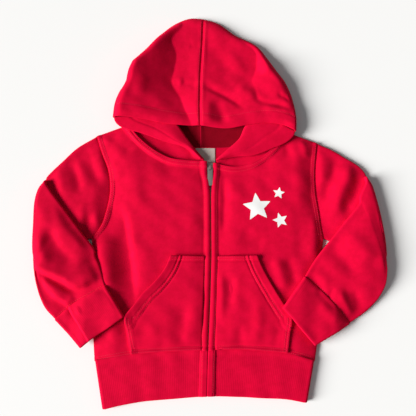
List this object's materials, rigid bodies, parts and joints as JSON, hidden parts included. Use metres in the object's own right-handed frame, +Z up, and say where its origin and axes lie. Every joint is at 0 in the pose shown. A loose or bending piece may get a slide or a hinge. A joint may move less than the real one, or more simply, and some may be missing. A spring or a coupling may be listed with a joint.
{
  "type": "kids hoodie",
  "caption": "Toddler's red zip hoodie laid flat on its back: hood spread above the neck, sleeves folded over onto the body, pouch pockets, rib cuffs and hem band, metal zip with a hinged pull.",
  "frame": {"origin": "centre of the underside's bounding rectangle, on the surface the garment lies on", "axes": "+X towards the wearer's left sleeve, +Y from the hem to the hood, +Z up, away from the surface"},
  "size_m": [0.5041, 0.572, 0.0226],
  "materials": {
    "jersey": "brushed-back cotton jersey, crimson red",
    "rib": "one-by-one rib, folded double, crimson red",
    "tape": "woven zip tape, red",
    "zip_metal": "plain grey metal, satin",
    "label": "plain woven label, beige, blank"
  },
  "bodies": {
    "garment": {"back_panel": "jersey", "front_right": "jersey", "front_left": "jersey", "pocket_right": "jersey", "pocket_left": "jersey", "sleeve_right": "jersey", "sleeve_left": "jersey", "hood_right": "jersey", "hood_left": "jersey", "cuff_right": "rib", "cuff_left": "rib", "hem_band": "rib", "zip_tape_right": "tape", "zip_tape_left": "tape", "zip_chain": "zip_metal", "zip_slider": "zip_metal", "neck_label": "label"},
    "pull": {"zip_pull": "zip_metal"}
  },
  "joints": [
    {"name": "pull_hinge", "type": "hinge", "parent": "garment", "child": "pull", "pos_m": [0.0017, 0.0479, 0.009], "axis": [-1, 0, 0], "range_deg": [0, 120]}
  ]
}
